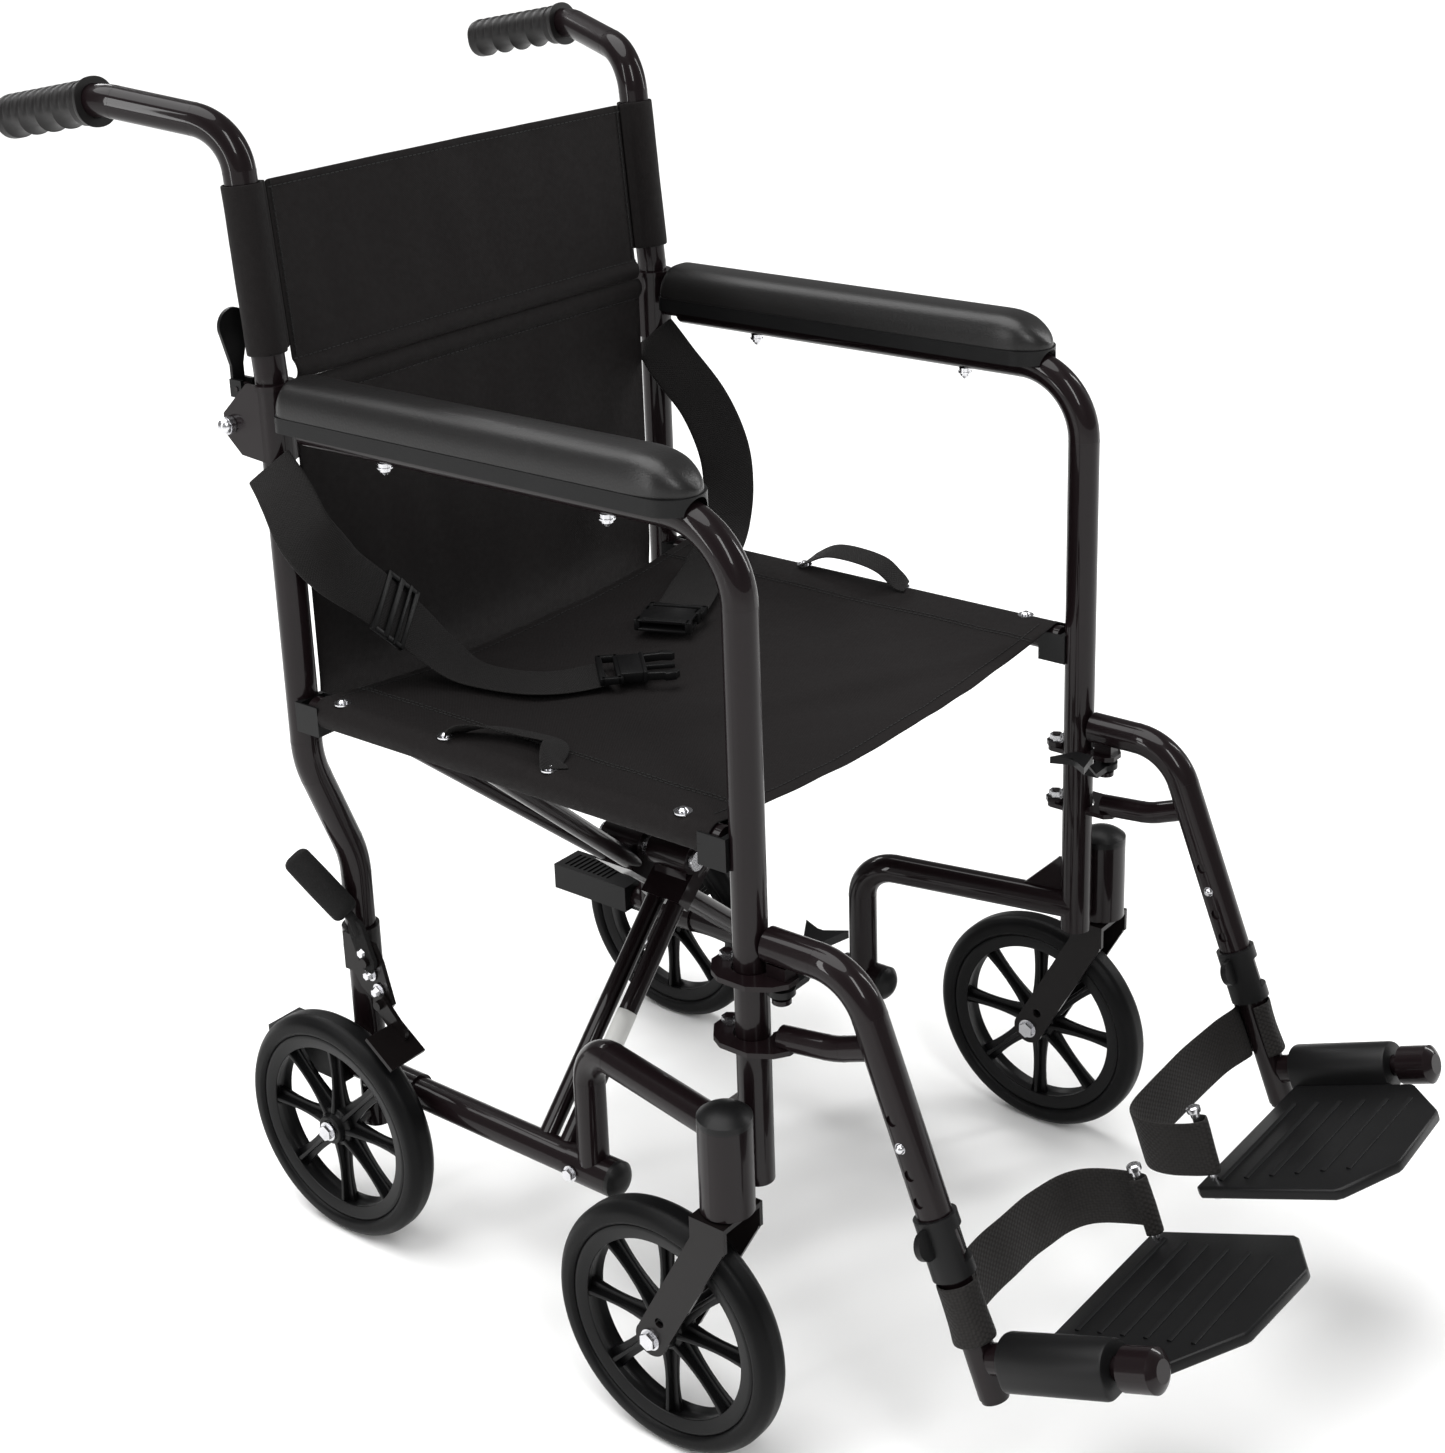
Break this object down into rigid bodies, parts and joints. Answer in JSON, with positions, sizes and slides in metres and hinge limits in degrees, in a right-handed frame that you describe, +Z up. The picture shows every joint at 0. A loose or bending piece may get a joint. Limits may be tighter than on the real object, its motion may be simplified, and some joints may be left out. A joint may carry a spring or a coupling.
{
  "type": "transport wheelchair",
  "caption": "Folding transport wheelchair with armrests, sling seat, fold-down back, swing-away footrests, castering front wheels and rear wheel brakes.",
  "frame": {"origin": "on the floor, under the middle of the chair's overall box", "axes": "+Z up, the chair faces -Y, +X is the sitter's left"},
  "size_m": [0.583, 1.0463, 0.9821],
  "materials": {
    "frame_paint": "gloss bronze-black enamel",
    "fork_paint": "satin black enamel",
    "zinc": "bright zinc plate",
    "black_plastic": "fine-grained black plastic",
    "wheel_plastic": "satin black nylon",
    "pad_vinyl": "soft-sheen black vinyl",
    "grip_rubber": "matt ribbed rubber",
    "grip_foam": "matt foam sleeve on black enamel",
    "tyre_rubber": "satin black solid tyre",
    "webbing": "ribbed black webbing",
    "nylon_cloth": "black coated nylon weave"
  },
  "bodies": {
    "right_side": {"right_front_frame": "frame_paint", "right_rear_post": "frame_paint", "right_back_saddle": "frame_paint", "right_arm_pad": "pad_vinyl", "right_arm_base": "black_plastic", "right_frame_bolts": "zinc", "right_brake_bracket": "fork_paint", "right_frame_plastics": "black_plastic", "right_lap_belt": "webbing", "back_lower_panel": "nylon_cloth"},
    "cross_a": {"cross_arm_a": "frame_paint"},
    "cross_b": {"cross_arm_b": "frame_paint", "cross_pivot_bolt": "zinc"},
    "left_side": {"left_front_frame": "frame_paint", "left_rear_post": "frame_paint", "left_back_saddle": "frame_paint", "left_arm_pad": "pad_vinyl", "left_arm_base": "black_plastic", "left_frame_bolts": "zinc", "left_brake_bracket": "fork_paint", "left_frame_plastics": "black_plastic", "left_lap_belt": "webbing"},
    "seat": {"seat_sling": "nylon_cloth"},
    "right_back": {"right_back_cane": "frame_paint", "right_push_grip": "grip_rubber", "back_upper_panel": "nylon_cloth"},
    "right_back_latch": {"right_back_latch": "black_plastic"},
    "right_caster": {"right_caster_fork": "fork_paint", "right_caster_bolts": "zinc"},
    "right_front_wheel": {"right_front_wheel": "wheel_plastic", "right_front_tyre": "tyre_rubber"},
    "right_rear_wheel": {"right_rear_wheel": "wheel_plastic", "right_rear_tyre": "tyre_rubber"},
    "right_brake_lever": {"right_brake_lever": "grip_foam"},
    "right_brake_shoe": {"right_brake_shoe": "fork_paint"},
    "right_hanger": {"right_hanger": "frame_paint", "right_leg_collar": "black_plastic"},
    "right_hanger_latch": {"right_hanger_latch": "black_plastic"},
    "right_leg": {"right_leg_tube": "frame_paint", "right_heel_loop": "webbing"},
    "right_snap_button": {"right_snap_button": "zinc"},
    "right_footplate": {"right_footplate": "black_plastic"},
    "left_back": {"left_back_cane": "frame_paint", "left_push_grip": "grip_rubber"},
    "left_back_latch": {"left_back_latch": "black_plastic"},
    "left_caster": {"left_caster_fork": "fork_paint", "left_caster_bolts": "zinc"},
    "left_front_wheel": {"left_front_wheel": "wheel_plastic", "left_front_tyre": "tyre_rubber"},
    "left_rear_wheel": {"left_rear_wheel": "wheel_plastic", "left_rear_tyre": "tyre_rubber"},
    "left_brake_lever": {"left_brake_lever": "grip_foam"},
    "left_brake_shoe": {"left_brake_shoe": "fork_paint"},
    "left_hanger": {"left_hanger": "frame_paint", "left_leg_collar": "black_plastic"},
    "left_hanger_latch": {"left_hanger_latch": "black_plastic"},
    "left_leg": {"left_leg_tube": "frame_paint", "left_heel_loop": "webbing"},
    "left_snap_button": {"left_snap_button": "zinc"},
    "left_footplate": {"left_footplate": "black_plastic"}
  },
  "joints": [
    {"name": "fold", "type": "hinge", "parent": "right_side", "child": "cross_a", "pos_m": [-0.186, 0.0604, 0.136], "axis": [0, -1, 0], "range_deg": [0, 40], "deforming": ["seat_sling", "back_upper_panel", "back_lower_panel", "right_lap_belt", "left_lap_belt"]},
    {"name": "cross_pivot", "type": "hinge", "parent": "cross_a", "child": "cross_b", "pos_m": [0, 0.0604, 0.319], "axis": [0, -1, 0], "range_deg": [-80, 0]},
    {"name": "left_side_fold", "type": "hinge", "parent": "cross_b", "child": "left_side", "pos_m": [0.186, 0.0604, 0.136], "axis": [0, -1, 0], "range_deg": [0, 40]},
    {"name": "seat_level", "type": "hinge", "parent": "cross_b", "child": "seat", "pos_m": [-0.226, 0.0604, 0.49], "axis": [0, -1, 0], "range_deg": [0, 40]},
    {"name": "right_back_fold", "type": "hinge", "parent": "right_side", "child": "right_back", "pos_m": [-0.225, 0.3154, 0.72], "axis": [-1, 0, 0], "range_deg": [0, 135]},
    {"name": "right_back_latch_pull", "type": "hinge", "parent": "right_back", "child": "right_back_latch", "pos_m": [-0.225, 0.3154, 0.746], "axis": [-1, 0, 0], "range_deg": [0, 18], "stiffness_Nm_per_rad": 0.6},
    {"name": "right_caster_swivel", "type": "hinge", "parent": "right_side", "child": "right_caster", "pos_m": [-0.264, -0.1666, 0.24], "axis": [0, 0, 1], "continuous": true},
    {"name": "right_front_wheel_spin", "type": "hinge", "parent": "right_caster", "child": "right_front_wheel", "pos_m": [-0.264, -0.1076, 0.1016], "axis": [1, 0, 0], "continuous": true},
    {"name": "right_rear_wheel_spin", "type": "hinge", "parent": "right_side", "child": "right_rear_wheel", "pos_m": [-0.221, 0.2884, 0.1016], "axis": [1, 0, 0], "continuous": true},
    {"name": "right_brake_lever_push", "type": "hinge", "parent": "right_side", "child": "right_brake_lever", "pos_m": [-0.208, 0.2524, 0.262], "axis": [1, 0, 0], "range_deg": [0, 55]},
    {"name": "right_brake_shoe_press", "type": "hinge", "parent": "right_side", "child": "right_brake_shoe", "pos_m": [-0.208, 0.2404, 0.226], "axis": [1, 0, 0], "range_deg": [0, 22]},
    {"name": "right_hanger_swing", "type": "hinge", "parent": "right_side", "child": "right_hanger", "pos_m": [-0.225, -0.1426, 0.37], "axis": [0, 0, -1], "range_deg": [0, 90]},
    {"name": "right_hanger_latch_pull", "type": "hinge", "parent": "right_hanger", "child": "right_hanger_latch", "pos_m": [-0.225, -0.1896, 0.388], "axis": [0, 0, 1], "range_deg": [0, 20], "stiffness_Nm_per_rad": 0.4},
    {"name": "right_leg_extension", "type": "slide", "parent": "right_hanger", "child": "right_leg", "axis": [0, -0.3584, -0.9336], "range_m": [-0.02, 0.04], "deforming": ["right_snap_button"]},
    {"name": "right_snap_button_press", "type": "slide", "parent": "right_leg", "child": "right_snap_button", "axis": [1, 0, 0], "range_m": [0, 0.003], "stiffness_N_per_m": 900},
    {"name": "right_footplate_flip", "type": "hinge", "parent": "right_leg", "child": "right_footplate", "pos_m": [-0.223, -0.41485, 0.1807], "axis": [0, -0.9336, 0.3584], "range_deg": [0, 90], "deforming": ["right_heel_loop"]},
    {"name": "left_back_fold", "type": "hinge", "parent": "left_side", "child": "left_back", "pos_m": [0.225, 0.3154, 0.72], "axis": [-1, 0, 0], "range_deg": [0, 135]},
    {"name": "left_back_latch_pull", "type": "hinge", "parent": "left_back", "child": "left_back_latch", "pos_m": [0.225, 0.3154, 0.746], "axis": [-1, 0, 0], "range_deg": [0, 18], "stiffness_Nm_per_rad": 0.6},
    {"name": "left_caster_swivel", "type": "hinge", "parent": "left_side", "child": "left_caster", "pos_m": [0.264, -0.1666, 0.24], "axis": [0, 0, 1], "continuous": true},
    {"name": "left_front_wheel_spin", "type": "hinge", "parent": "left_caster", "child": "left_front_wheel", "pos_m": [0.264, -0.1076, 0.1016], "axis": [1, 0, 0], "continuous": true},
    {"name": "left_rear_wheel_spin", "type": "hinge", "parent": "left_side", "child": "left_rear_wheel", "pos_m": [0.221, 0.2884, 0.1016], "axis": [1, 0, 0], "continuous": true},
    {"name": "left_brake_lever_push", "type": "hinge", "parent": "left_side", "child": "left_brake_lever", "pos_m": [0.208, 0.2524, 0.262], "axis": [1, 0, 0], "range_deg": [0, 55]},
    {"name": "left_brake_shoe_press", "type": "hinge", "parent": "left_side", "child": "left_brake_shoe", "pos_m": [0.208, 0.2404, 0.226], "axis": [1, 0, 0], "range_deg": [0, 22]},
    {"name": "left_hanger_swing", "type": "hinge", "parent": "left_side", "child": "left_hanger", "pos_m": [0.225, -0.1426, 0.37], "axis": [0, 0, 1], "range_deg": [0, 90]},
    {"name": "left_hanger_latch_pull", "type": "hinge", "parent": "left_hanger", "child": "left_hanger_latch", "pos_m": [0.225, -0.1896, 0.388], "axis": [0, 0, -1], "range_deg": [0, 20], "stiffness_Nm_per_rad": 0.4},
    {"name": "left_leg_extension", "type": "slide", "parent": "left_hanger", "child": "left_leg", "axis": [0, -0.3584, -0.9336], "range_m": [-0.02, 0.04], "deforming": ["left_snap_button"]},
    {"name": "left_snap_button_press", "type": "slide", "parent": "left_leg", "child": "left_snap_button", "axis": [1, 0, 0], "range_m": [0, 0.003], "stiffness_N_per_m": 900},
    {"name": "left_footplate_flip", "type": "hinge", "parent": "left_leg", "child": "left_footplate", "pos_m": [0.223, -0.41485, 0.1807], "axis": [0, 0.9336, -0.3584], "range_deg": [0, 90], "deforming": ["left_heel_loop"]}
  ],
  "couplings": [
    {"joint": "cross_pivot", "follows": "fold", "ratio": -2},
    {"joint": "left_side_fold", "follows": "fold", "ratio": 1},
    {"joint": "seat_level", "follows": "fold", "ratio": 1},
    {"joint": "right_brake_shoe_press", "follows": "right_brake_lever_push", "ratio": 0.4},
    {"joint": "right_footplate_flip", "follows": "fold", "ratio": 2.25},
    {"joint": "left_brake_shoe_press", "follows": "left_brake_lever_push", "ratio": 0.4},
    {"joint": "left_footplate_flip", "follows": "fold", "ratio": 2.25},
    {"joint": "left_back_fold", "follows": "right_back_fold", "ratio": 1}
  ]
}
